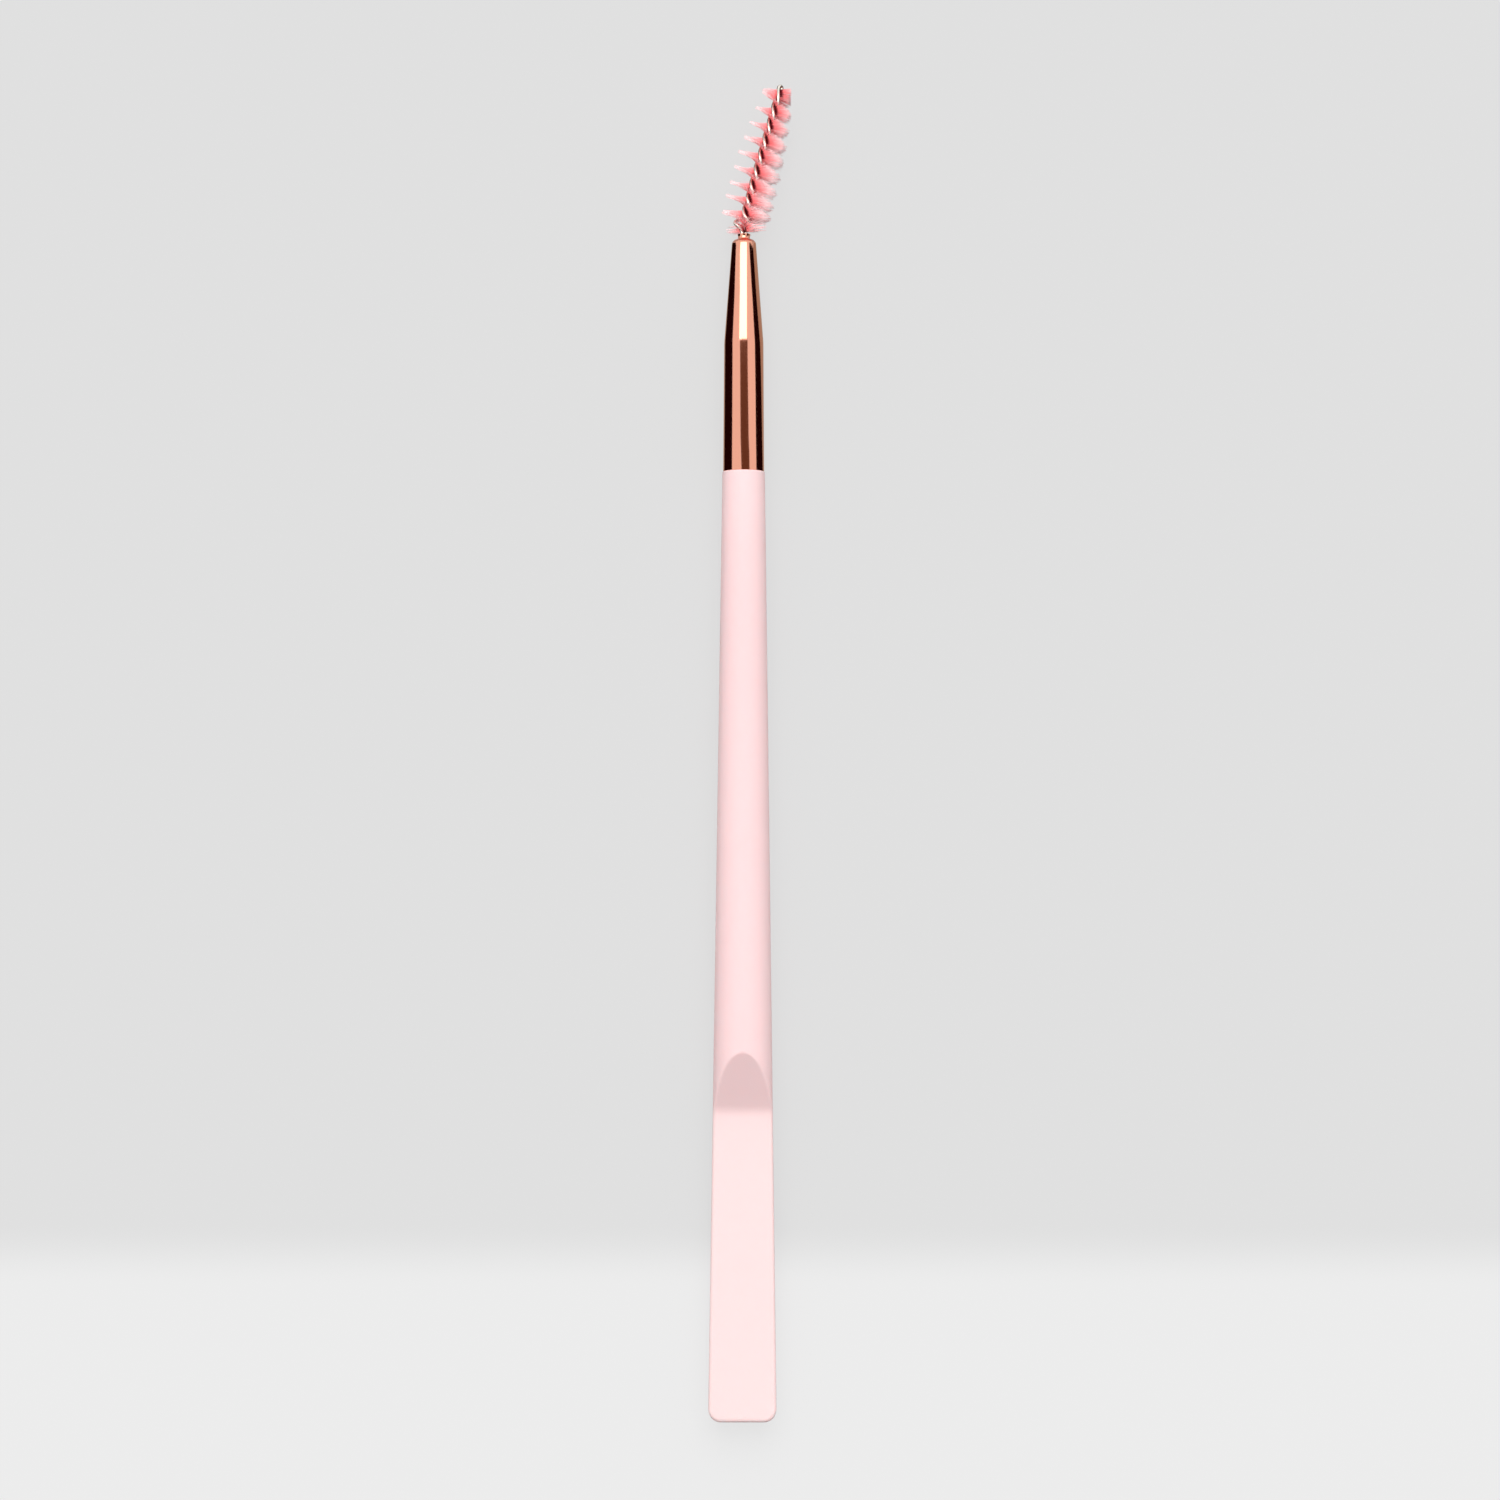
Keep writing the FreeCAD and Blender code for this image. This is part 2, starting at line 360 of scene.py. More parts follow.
# Where the colours lie along a bristle, as shares of the longest one; the first colour is painted shade at
# the roots
painted_gap_shade_place = 0.14
root_place = 0.24
tip_place = 0.85

# How much of a bristle its shadow shows, and how much of it reflections leave out
shadow_cover = 0.03
reflection_loss = 0.5


def matt_plastic(sizes, drift, grain):
    material, tree, shader = new_material("pink_plastic_matt")
    place = tree.nodes.new("ShaderNodeTexCoord").outputs["Object"]
    tint = place_group(tree, drift, Scale=90, First=rgba(sizes.pink), Second=rgba(sizes.deep_pink))
    skin = place_group(tree, grain, Scale=7000, Low=sizes.roughness - 0.06, High=sizes.roughness + 0.06)
    link = tree.links.new
    link(place, tint.inputs["Vector"])
    link(place, skin.inputs["Vector"])
    split = tree.nodes.new("ShaderNodeSeparateXYZ")
    thin = tree.nodes.new("ShaderNodeMapRange")
    thin.interpolation_type = "SMOOTHSTEP"
    ramp_foot_y = seam_y - handle_length + sizes.blade_length
    thin.inputs["From Min"].default_value = ramp_foot_y + paling_reach
    thin.inputs["From Max"].default_value = ramp_foot_y - paling_reach
    paler = tree.nodes.new("ShaderNodeMix")
    paler.data_type = "RGBA"
    paler.inputs["B"].default_value = rgba(sizes.pale_pink)
    link(place, split.inputs["Vector"])
    link(split.outputs["Y"], thin.inputs["Value"])
    link(thin.outputs["Result"], paler.inputs["Factor"])
    link(tint.outputs["Colour"], paler.inputs["A"])
    link(paler.outputs["Result"], shader.inputs["Base Color"])
    link(skin.outputs["Roughness"], shader.inputs["Roughness"])
    add_bump(tree, shader, skin.outputs["Height"], distance=0.01 * mm, strength=0.5)
    shader.inputs["Specular IOR Level"].default_value = 0.2
    shader.inputs["Subsurface Weight"].default_value = 0.15
    shader.inputs["Subsurface Scale"].default_value = 0.002
    shader.inputs["Subsurface Radius"].default_value = (1.0, 0.4, 0.35)
    return material


def polished_metal(sizes, grain):
    material, tree, shader = new_material("rose_gold_polished")
    place = tree.nodes.new("ShaderNodeTexCoord").outputs["Object"]
    stretch = tree.nodes.new("ShaderNodeMapping")
    stretch.inputs["Scale"].default_value = (1, 0.02, 1)
    lines = place_group(tree, grain, Scale=9000, Low=sizes.roughness - 0.02, High=sizes.roughness + 0.03)
    link = tree.links.new
    link(place, stretch.inputs["Vector"])
    link(stretch.outputs["Vector"], lines.inputs["Vector"])
    link(lines.outputs["Roughness"], shader.inputs["Roughness"])
    add_bump(tree, shader, lines.outputs["Height"], distance=0.002 * mm, strength=0.2)
    shader.inputs["Base Color"].default_value = rgba(sizes.rose_gold)
    shader.inputs["Metallic"].default_value = 1
    return material


def drawn_steel(sizes, drift, grain):
    material, tree, shader = new_material("steel_drawn")
    place = tree.nodes.new("ShaderNodeTexCoord").outputs["Object"]
    dark = tuple(dark_steel * part for part in sizes.steel)
    tint = place_group(tree, drift, Scale=900, First=rgba(sizes.steel), Second=rgba(dark))
    lines = place_group(tree, grain, Scale=12000, Low=sizes.roughness - 0.05, High=sizes.roughness + 0.05)
    link = tree.links.new
    link(place, tint.inputs["Vector"])
    link(place, lines.inputs["Vector"])
    link(tint.outputs["Colour"], shader.inputs["Base Color"])
    link(lines.outputs["Roughness"], shader.inputs["Roughness"])
    add_bump(tree, shader, lines.outputs["Height"], distance=0.003 * mm, strength=0.3)
    shader.inputs["Metallic"].default_value = 1
    return material


def nylon(sizes):
    material, tree, shader = new_material("pink_nylon_filament")
    along = tree.nodes.new("ShaderNodeAttribute")
    along.attribute_name = "along"
    shade = tree.nodes.new("ShaderNodeAttribute")
    shade.attribute_name = "shade"
    fade = tree.nodes.new("ShaderNodeValToRGB")
    stops = fade.color_ramp.elements
    # Painted shade: the first stop darkens the roots to maroon, standing in for the shadow between the
    # strands
    stops[0].position, stops[0].color = painted_gap_shade_place, rgba(sizes.painted_gap_shade)
    stops[1].position, stops[1].color = tip_place, rgba(sizes.tip)
    # Partly painted shade: the root stop is the nylon's pink, darkened for the shade among the dense roots
    stops.new(root_place).color = rgba(sizes.root)
    vary = tree.nodes.new("ShaderNodeHueSaturation")
    gloss = tree.nodes.new("ShaderNodeMapRange")
    gloss.inputs["To Min"].default_value = 0.35
    gloss.inputs["To Max"].default_value = 0.5
    link = tree.links.new
    link(along.outputs["Fac"], fade.inputs["Fac"])
    link(fade.outputs["Color"], vary.inputs["Color"])
    link(shade.outputs["Fac"], vary.inputs["Value"])
    link(vary.outputs["Color"], shader.inputs["Base Color"])
    link(along.outputs["Fac"], gloss.inputs["Value"])
    link(gloss.outputs["Result"], shader.inputs["Roughness"])
    rays = tree.nodes.new("ShaderNodeLightPath")
    passed = tree.nodes.new("ShaderNodeMapRange")
    passed.inputs["To Min"].default_value = 1
    passed.inputs["To Max"].default_value = shadow_cover
    either = tree.nodes.new("ShaderNodeMath")
    either.operation = "MAXIMUM"
    link(rays.outputs["Is Shadow Ray"], either.inputs[0])
    mirrored = tree.nodes.new("ShaderNodeMath")
    mirrored.operation = "MULTIPLY"
    mirrored.inputs[1].default_value = reflection_loss
    link(rays.outputs["Is Glossy Ray"], mirrored.inputs[0])
    link(mirrored.outputs["Value"], either.inputs[1])
    link(either.outputs["Value"], passed.inputs["Value"])
    link(passed.outputs["Result"], shader.inputs["Alpha"])
    shader.inputs["Specular IOR Level"].default_value = 0.3
    return material


def cured_glue(drift, grain):
    material, tree, shader = new_material("clear_glue_cured")
    place = tree.nodes.new("ShaderNodeTexCoord").outputs["Object"]
    tint = place_group(tree, drift, Scale=700, First=(0.85, 0.78, 0.6, 1), Second=(0.78, 0.68, 0.48, 1))
    skin = place_group(tree, grain, Scale=1500, Low=0.12, High=0.25)
    link = tree.links.new
    link(place, tint.inputs["Vector"])
    link(place, skin.inputs["Vector"])
    link(tint.outputs["Colour"], shader.inputs["Base Color"])
    link(skin.outputs["Roughness"], shader.inputs["Roughness"])
    add_bump(tree, shader, skin.outputs["Height"], distance=0.02 * mm, strength=0.4)
    shader.inputs["Subsurface Weight"].default_value = 0.3
    shader.inputs["Subsurface Scale"].default_value = 0.001
    return material


# Handle

# How finely the handle's rings follow its form
corner_steps = 14
blade_rings = 8
grip_rings = 16
shoulder_steps = 6
apex_step = 0.01 * mm
ramp_step = 0.1 * mm
arch_step = 0.03 * mm

# How far the close rings reach below and above the top of the arch, and where the grip's begin
arch_below = 0.6 * mm
arch_above = 0.4 * mm
grip_start = 0.5 * mm

# Softness of the arch's edge, the tenon's chamfer, and how near a face lies to the seam to be taken as in it
arch_softness = 0.12 * mm
tenon_chamfer = 0.5 * mm
seam_tolerance = 0.01 * mm


def handle_radius(sizes, y):
    """Radius of the round handle at y, measured from the seam, with the shoulder's rounding."""
    share = -y / handle_length
    radius = sizes.shoulder_radius + (sizes.end_radius - sizes.shoulder_radius) * share
    into = y + sizes.shoulder_round
    if into > 0:
        rounded = sizes.shoulder_round
        radius -= rounded - math.sqrt(max(rounded**2 - into**2, 0))
    return radius


def scoop_height(sizes, y):
    """Height of the scooped faces over the middle plane: the blade, the foot's arc and the ramp."""
    flat = sizes.blade_thickness / 2
    arc_start = sizes.blade_length - handle_length - sizes.foot_radius * math.tan(sizes.ramp_angle / 2)
    arc_run = sizes.foot_radius * math.sin(sizes.ramp_angle)
    run = y - arc_start
    if run <= 0:
        return flat
    if run <= arc_run:
        return flat + sizes.foot_radius - math.sqrt(sizes.foot_radius**2 - run**2)
    foot = sizes.foot_radius * (1 - math.cos(sizes.ramp_angle))
    return flat + foot + (run - arc_run) * math.tan(sizes.ramp_angle)


def softer_of(a, b, blend):
    """The lower of two heights, with their meeting smoothed over."""
    return min(a, b) - max(blend - abs(a - b), 0) ** 2 / (4 * blend)


def handle_stations(sizes):
    """Distances from the blade's end at which the handle has a ring."""
    corner = sizes.corner_radius
    corner_stations = [
        corner * (1 - math.cos(math.pi / 2 * i / corner_steps)) for i in range(corner_steps + 1)
    ]
    arc_start = sizes.blade_length - sizes.foot_radius * math.tan(sizes.ramp_angle / 2)
    blade = list(np.linspace(corner, arc_start, blade_rings)[1:])
    apex = arc_start
    while scoop_height(sizes, apex - handle_length) < handle_radius(sizes, apex - handle_length):
        apex += apex_step
    ramp = list(np.arange(arc_start + ramp_step, apex - arch_below, ramp_step))
    arch = list(np.arange(apex - arch_below, apex + arch_above, arch_step))
    grip = list(np.linspace(apex + grip_start, handle_length - sizes.shoulder_round, grip_rings))
    shoulder = [
        handle_length - sizes.shoulder_round * (1 - math.sin(math.pi / 2 * i / shoulder_steps))
        for i in range(1, shoulder_steps + 1)
    ]
    return corner_stations + blade + ramp + arch + grip + shoulder


def handle_point(sizes, angle, from_end):
    """Where a ring's vertex lies across the handle: the round section pressed under the scoops' faces."""
    y = from_end - handle_length
    radius = handle_radius(sizes, y)
    x = radius * math.cos(angle)
    z = radius * math.sin(angle)
    edge = sizes.edge_round
    top = softer_of(scoop_height(sizes, y), radius, arch_softness)
    if from_end < sizes.corner_radius:
        corner = sizes.corner_radius
        half = radius - corner + math.sqrt(corner**2 - (corner - from_end) ** 2)
        x *= half / radius
        inset = min(radius - abs(x), from_end)
        if radius - abs(x) < corner:
            inset = corner - math.hypot(corner - radius + abs(x), corner - from_end)
        inset = min(max(inset, 0), edge)
        lid = top - edge + math.sqrt(edge**2 - (edge - inset) ** 2)
    else:
        flat_to = math.sqrt(max((radius - edge) ** 2 - (top - edge) ** 2, 0))
        round_to = flat_to * radius / (radius - edge)
        lid = top
        if abs(x) > round_to:
            lid = radius
        elif abs(x) > flat_to:
            lid = top - edge + math.sqrt(max(edge**2 - (abs(x) - flat_to) ** 2, 0))
    return x, math.copysign(min(abs(z), lid), z)


class MakeHandle(bpy.types.Operator):
    """Models the pink handle: blade, scooped ramps, round grip, shoulder and tenon"""

    bl_idname = "applicator.make_handle"
    bl_label = "Handle"

    def execute(self, context):
        sizes = context.scene.applicator_handle
        stations = handle_stations(sizes)
        deselect()
        bpy.ops.mesh.primitive_cylinder_add(
            vertices=sizes.sides,
            radius=sizes.end_radius,
            depth=handle_length,
            location=(axis_x, seam_y - handle_length / 2, axis_z),
            rotation=(-math.pi / 2, 0, 0),
        )
        piece = named("handle_moulding")
        bpy.ops.object.transform_apply(location=True, rotation=True, scale=True)
        bpy.ops.object.mode_set(mode="EDIT")
        select_only(
            piece, "EDGE", lambda edge: abs(edge.verts[0].co.y - edge.verts[1].co.y) > handle_length / 2
        )
        bpy.ops.mesh.subdivide(number_cuts=len(stations) - 2)
        mesh = bmesh.from_edit_mesh(piece.data)
        ring_gap = handle_length / (len(stations) - 1)
        for vertex in mesh.verts:
            ring = round((vertex.co.y - seam_y + handle_length) / ring_gap)
            angle = math.atan2(vertex.co.z - axis_z, vertex.co.x - axis_x)
            x, z = handle_point(sizes, angle, stations[ring])
            vertex.co = (axis_x + x, seam_y - handle_length + stations[ring], axis_z + z)
        bmesh.update_edit_mesh(piece.data)
        self.add_tenon(piece, sizes)
        close_up()
        dress(piece, "handle", bpy.data.materials["pink_plastic_matt"])
        return {"FINISHED"}

    def add_tenon(self, piece, sizes):
        def on_the_shoulder(face):
            return face.normal.y > 0.9 and face.calc_center_median().y > seam_y - seam_tolerance

        shoulder = sizes.shoulder_radius - sizes.shoulder_round
        select_only(piece, "FACE", on_the_shoulder)
        bpy.ops.mesh.inset(thickness=shoulder - sizes.tenon_radius)
        bpy.ops.mesh.extrude_region_move(
            TRANSFORM_OT_translate={"value": (0, sizes.tenon_length - tenon_chamfer, 0)}
        )
        bpy.ops.mesh.extrude_region_move(TRANSFORM_OT_translate={"value": (0, tenon_chamfer, 0)})
        shrink = 1 - tenon_chamfer / sizes.tenon_radius
        bpy.ops.transform.resize(
            value=(shrink, 1, shrink), center_override=(axis_x, seam_y + sizes.tenon_length, axis_z)
        )


# Ferrule

# Fine forms of the rim, the collar and its hole
rim_round = 0.05 * mm
waist_depth = 0.07 * mm
waist_fillet = 0.2 * mm
flare_height = 0.3 * mm
flare_fillet = 0.3 * mm
flare_edge = 0.04 * mm
flare_round = 0.03 * mm
hole_chamfer = 0.05 * mm


def rounded_corner(before, corner, after, radius, steps):
    """Points of an arc that rounds a corner of a profile, corners given as (radius, y)."""
    corner = Vector(corner)
    back = (Vector(before) - corner).normalized()
    ahead = (Vector(after) - corner).normalized()
    half = back.angle(ahead) / 2
    centre = corner + (back + ahead).normalized() * (radius / math.sin(half))
    first = corner + back * (radius / math.tan(half)) - centre
    last = corner + ahead * (radius / math.tan(half)) - centre
    points = []
    for i in range(steps + 1):
        points.append(tuple(centre + first.slerp(last, i / steps) * radius))
    return points


def quarter_points(start, end):
    """The three points that divide a straight side of a profile in four."""
    return [
        (start[0] + (end[0] - start[0]) * share, start[1] + (end[1] - start[1]) * share)
        for share in (0.25, 0.5, 0.75)
    ]


def ferrule_profile(sizes):
    """The ferrule's closed half section as (radius, y from the seam), up the outside and down the inside."""
    barrel = (sizes.barrel_radius, sizes.barrel_length)
    nose = (sizes.nose_radius, sizes.total_length)
    rim = (sizes.rim_radius, 0)
    top = sizes.total_length + sizes.collar_height
    waist = sizes.collar_radius - waist_depth
    inner = sizes.barrel_radius - sizes.wall
    inner_top = sizes.total_length - sizes.nose_wall
    hole = sizes.collar_radius - sizes.wall
    collar_foot = (waist, sizes.total_length)
    flare_foot = (waist, top - flare_height)
    flare = (sizes.collar_radius, top - flare_edge)
    points = rounded_corner((inner, 0), rim, barrel, rim_round, steps=4)
    points += quarter_points(rim, barrel)
    points += rounded_corner(rim, barrel, nose, sizes.bend_radius, steps=8)
    points += quarter_points(barrel, nose)
    points += rounded_corner(barrel, nose, collar_foot, sizes.nose_round, steps=12)
    points += rounded_corner(nose, collar_foot, (waist, top), waist_fillet, steps=6)
    points += rounded_corner(collar_foot, flare_foot, flare, flare_fillet, steps=4)
    points += rounded_corner(flare_foot, flare, (hole, top), flare_round, steps=4)
    points += [(hole + hole_chamfer, top), (hole, top - hole_chamfer), (hole, inner_top)]
    points += [(sizes.nose_radius - sizes.wall, inner_top), (inner, sizes.barrel_length), (inner, 0)]
    return points


class MakeFerrule(bpy.types.Operator):
    """Models the rose-gold ferrule by spinning its section round the tool's axis"""

    bl_idname = "applicator.make_ferrule"
    bl_label = "Ferrule"

    def execute(self, context):
        sizes = context.scene.applicator_ferrule
        profile = ferrule_profile(sizes)
        deselect()
        bpy.ops.mesh.primitive_circle_add(vertices=len(profile), radius=sizes.barrel_radius)
        piece = named("ferrule_tube")
        for vertex, (radius, y) in zip(piece.data.vertices, profile):
            vertex.co = (axis_x, seam_y + y, axis_z + radius)
        bpy.ops.object.mode_set(mode="EDIT")
        bpy.ops.mesh.select_all(action="SELECT")
        bpy.ops.mesh.spin(steps=sizes.sides, angle=2 * math.pi, center=(axis_x, 0, axis_z), axis=(0, 1, 0))
        close_up()
        dress(piece, "ferrule", bpy.data.materials["rose_gold_polished"])
        return {"FINISHED"}


# Twisted wire and its bristles

# How finely the wire's path is followed
steps_per_turn = 56
loop_steps = 16

# Over what stretch the twist slackens below the loop, how softly it starts above the ferrule, and how much
# of the bulge the second strand has
slack_run = 2.5 * mm
start_softness = 0.5 * mm
second_bulge = 0.25

# How the bristles differ from one another: their angle in radians, their reach, lift and bow as shares of
# their length, their brightness, and how much of the room up to the parts' box they keep
angle_scatter = 0.09
reach_scatter = 0.035
mean_lift = 0.02
lift_scatter = 0.02
bow_scatter = 0.02
darkest_shade = 0.86
shortest_trim = 0.9

# How the bristles change along the brush
loose_fade = 0.6 * mm
trim_rate = 1.4
first_reach = 0.82


class CoreLine:
    """The line the wire is twisted round: straight out of the ferrule, then bent twice towards +X."""

    def __init__(self, sizes, mouth):
        self.sizes = sizes
        self.runs = (
            (mouth + sizes.rise - sizes.stem_start, 0.0),
            (sizes.mouth_angle * sizes.mouth_radius, sizes.mouth_angle),
            (sizes.neck_run, 0.0),
            (sizes.lean_angle * sizes.lean_radius, sizes.lean_angle),
            (sizes.tip_run, 0.0),
        )
        self.length = sum(run for run, turn in self.runs)
        self.mouth = mouth - sizes.stem_start

    def place(self, along):
        """Point, forward direction and sideways direction at a length along the line."""
        point = Vector((axis_x, seam_y + self.sizes.stem_start, axis_z))
        heading = 0.0
        left = along
        for run, turn in self.runs:
            step = min(left, run)
            turned = turn * step / run
            chord = step
            if turned:
                chord = step * math.sin(turned / 2) / (turned / 2)
            way = heading + turned / 2
            point = point + Vector((math.sin(way), math.cos(way), 0)) * chord
            heading += turned
            left -= step
            if left <= 0:
                break
        forward = Vector((math.sin(heading), math.cos(heading), 0))
        sideways = Vector((math.cos(heading), -math.sin(heading), 0))
        return point, forward, sideways

    def twist(self, along):
        """Angle of the left-handed twist, which starts above the ferrule and dies away before the loop."""
        turned = along
        into = along - (self.length - self.sizes.untwist)
        if into > 0:
            share = into / self.sizes.untwist
            turned = along - into + self.sizes.untwist * (share - share**3 + share**4 / 2)
        near = min(max(1 + (along - self.length) / slack_run, 0), 1)
        slack = self.sizes.tip_slack * near * near * (3 - 2 * near)
        if along < self.mouth + self.sizes.base_even:
            into = along - self.mouth - self.sizes.base_hold
            soft = (into + math.hypot(into, start_softness)) / 2
            left = self.sizes.base_even - self.sizes.base_hold - soft
            turned = self.mouth + self.sizes.base_even - self.sizes.base_rate * left
        return self.sizes.start_angle - 2 * math.pi * turned / self.sizes.pitch + slack

    def across(self, along, angle):
        """Direction square to the line, at an angle from straight up."""
        sideways = self.place(along)[2]
        return Vector((0, 0, 1)) * math.cos(angle) + sideways * math.sin(angle)


def wire_points(sizes, core):
    """Points up one strand, round the loop at the tip and down the other strand."""
    steps = int(core.length / sizes.pitch * steps_per_turn)
    middle = []
    arms = []
    bulges = []
    for i in range(steps + 1):
        along = core.length * i / steps
        out = core.across(along, core.twist(along))
        over = (along - core.mouth - sizes.spread_height) / sizes.spread_width
        middle.append(core.place(along)[0])
        arms.append(out * sizes.strand_radius)
        bulges.append(out * (sizes.spread * math.exp(-(over**2))))
    forward = core.place(core.length)[1]
    points = [point + arm + bulge for point, arm, bulge in zip(middle, arms, bulges)]
    for i in range(1, loop_steps):
        angle = math.pi * i / loop_steps
        points.append(
            middle[-1] + arms[-1] * math.cos(angle) + forward * (sizes.strand_radius * math.sin(angle))
        )
    other = [point - arm - bulge * second_bulge for point, arm, bulge in zip(middle, arms, bulges)]
    points += reversed(other)
    return points


def ferrule_mouth(scene):
    sizes = scene.applicator_ferrule
    return sizes.total_length + sizes.collar_height


class MakeWire(bpy.types.Operator):
    """Models the steel wire, folded and twisted on itself"""

    bl_idname = "applicator.make_wire"
    bl_label = "Twisted wire"

    def execute(self, context):
        sizes = context.scene.applicator_wire
        points = wire_points(sizes, CoreLine(sizes, ferrule_mouth(context.scene)))
        deselect()
        bpy.ops.curve.primitive_bezier_curve_add()
        piece = named("twisted_wire")
        curve = piece.data
        curve.splines.clear()
        strand = curve.splines.new("POLY")
        strand.points.add(len(points) - 1)
        for place, point in zip(strand.points, points):
            place.co = (*point, 1)
        curve.bevel_depth = sizes.radius
        curve.bevel_resolution = 6
        curve.use_fill_caps = True
        bpy.ops.object.convert(target="MESH")
        piece = named("twisted_wire")
        bpy.ops.object.mode_set(mode="EDIT")
        close_up(wire_smooth_angle)
        dress(piece, "brush_wire", bpy.data.materials["steel_drawn"])
        return {"FINISHED"}


class MakeBristles(bpy.types.Operator):
    """Models one tapered filament and sets its copies across the twisted wire"""

    bl_idname = "applicator.make_bristles"
    bl_label = "Bristles"

    def execute(self, context):
        sizes = context.scene.applicator_bristles
        core = CoreLine(context.scene.applicator_wire, ferrule_mouth(context.scene))
        piece, shape = self.one_filament(sizes)
        random = np.random.default_rng(sizes.seed)
        first = core.mouth + sizes.start_gap
        last = core.length - sizes.end_gap
        places = []
        along_values = []
        shades = []
        for i in range(sizes.count):
            share = (i + random.uniform(-0.5, 0.5)) / sizes.count
            share = min(max(share, 0), 1)
            along = first + (last - first) * share
            point, forward = core.place(along)[:2]
            loose = min(max((core.mouth + core.sizes.base_hold - along) / loose_fade + 0.5, 0), 1)
            for side in (1, -1):
                angle = core.twist(along) + math.pi / 2 + random.normal(0, angle_scatter)
                angle += loose * random.uniform(-sizes.splay, sizes.splay)
                out = core.across(along, angle) * side
                offset = sizes.trim_base + (sizes.trim_tip - sizes.trim_base) * min(share * trim_rate, 1)
                reach = self.reach(sizes, share) * (1 + random.normal(0, reach_scatter)) + offset * out.x
                lift = random.normal(mean_lift, lift_scatter)
                bow = random.normal(0, bow_scatter)
                shade = random.uniform(darkest_shade, 1)
                thick = forward.cross(out)
                trim = self.room(point, (out + forward * (lift + bow)) * reach, sizes.filament_radius)
                if trim < 1:
                    reach *= trim * random.uniform(shortest_trim, 1)
                # Only the bristles that point up and towards +X, where the wire's shadow falls, get the
                # painted dark shade at their roots
                painted_gap_shade_skip = 0 if out.z > 0 and out.x > 0 else painted_gap_shade_place
                for t, u, v in shape:
                    spot = point + out * (reach * t)
                    spot = spot + forward * (reach * (lift * t + bow * t * t) + u)
                    spot = spot + thick * v
                    places.append(spot)
                    along_values.append(t * reach / sizes.reach_base + painted_gap_shade_skip)
                    shades.append(shade)
        self.fill(piece, places, along_values, shades, sizes.count * 2)
        bpy.ops.object.shade_smooth()
        dress(piece, "bristles", bpy.data.materials["pink_nylon_filament"])
        return {"FINISHED"}

    def room(self, point, arm, margin):
        """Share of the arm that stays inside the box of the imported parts."""
        share = 1
        for axis in range(3):
            end = point[axis] + arm[axis]
            inside = min(max(end, cad_box[0][axis] + margin), cad_box[1][axis] - margin)
            if end != inside:
                share = min(share, (inside - point[axis]) / arm[axis])
        return share

    def reach(self, sizes, share):
        """Length of the bristles at a share of the brush's length, a little shorter at its very start."""
        if share < 0.5:
            even = sizes.reach_base + (sizes.reach_middle - sizes.reach_base) * share * 2
            return even * min(first_reach + share * 2, 1)
        return sizes.reach_middle + (sizes.reach_tip - sizes.reach_middle) * (share * 2 - 1)

    def one_filament(self, sizes):
        """A slim tapered filament, and its vertices as (share of the length, two offsets)."""
        deselect()
        bpy.ops.mesh.primitive_cone_add(
            vertices=4,
            radius1=sizes.filament_radius,
            radius2=sizes.tip_radius,
            depth=1,
            location=(0, 0, 0.5),
        )
        piece = named("bristle_filaments")
        bpy.ops.object.transform_apply(location=True, rotation=True, scale=True)
        bpy.ops.object.mode_set(mode="EDIT")
        select_only(piece, "EDGE", lambda edge: abs(edge.verts[0].co.z - edge.verts[1].co.z) > 0.5)
        bpy.ops.mesh.subdivide(number_cuts=3)
        bpy.ops.object.mode_set(mode="OBJECT")
        return piece, [(v.co.z, v.co.x, v.co.y) for v in piece.data.vertices]

    def fill(self, piece, places, along_values, shades, copies):
        """Replace the filament by all its copies, with how far along and how light each vertex is."""
        faces = [tuple(polygon.vertices) for polygon in piece.data.polygons]
        per_copy = len(piece.data.vertices)
        every_face = []
        for copy in range(copies):
            start = copy * per_copy
            every_face += [tuple(start + index for index in face) for face in faces]
        mesh = bpy.data.meshes.new("bristle_filaments")
        mesh.from_pydata([tuple(place) for place in places], [], every_face)
        mesh.attributes.new("along", "FLOAT", "POINT").data.foreach_set("value", along_values)
        mesh.attributes.new("shade", "FLOAT", "POINT").data.foreach_set("value", shades)
        mesh.update()
        old = piece.data
        piece.data = mesh
        bpy.data.meshes.remove(old)
        mesh.name = "bristle_filaments"
        make_active(piece)
        bpy.ops.object.mode_set(mode="EDIT")
        bpy.ops.mesh.select_all(action="SELECT")
        bpy.ops.mesh.normals_make_consistent(inside=False)
        bpy.ops.object.mode_set(mode="OBJECT")


class DressGlue(bpy.types.Operator):
    """Gives the cured glue inside the ferrule its finish"""

    bl_idname = "applicator.dress_glue"
    bl_label = "Glue"

    def execute(self, context):
        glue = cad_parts["stem_glue"]
        glue.data.materials.clear()
        glue.data.materials.append(bpy.data.materials["clear_glue_cured"])
        return {"FINISHED"}


class MixFinishes(bpy.types.Operator):
    """Mixes the plastic, metal, wire, nylon and glue finishes"""

    bl_idname = "applicator.mix_finishes"
    bl_label = "Finishes"

    def execute(self, context):
        scene = context.scene
        drift = colour_drift_group()
        grain = fine_grain_group()
        matt_plastic(scene.applicator_handle, drift, grain)
        polished_metal(scene.applicator_ferrule, grain)
        drawn_steel(scene.applicator_wire, drift, grain)
        nylon(scene.applicator_bristles)
        cured_glue(drift, grain)
        return {"FINISHED"}


# Stage

# The camera's place beside and behind the seam's middle, and its turn
camera_aside = 0.88 * mm
camera_back = 36.42 * mm
camera_roll = math.radians(0.077)

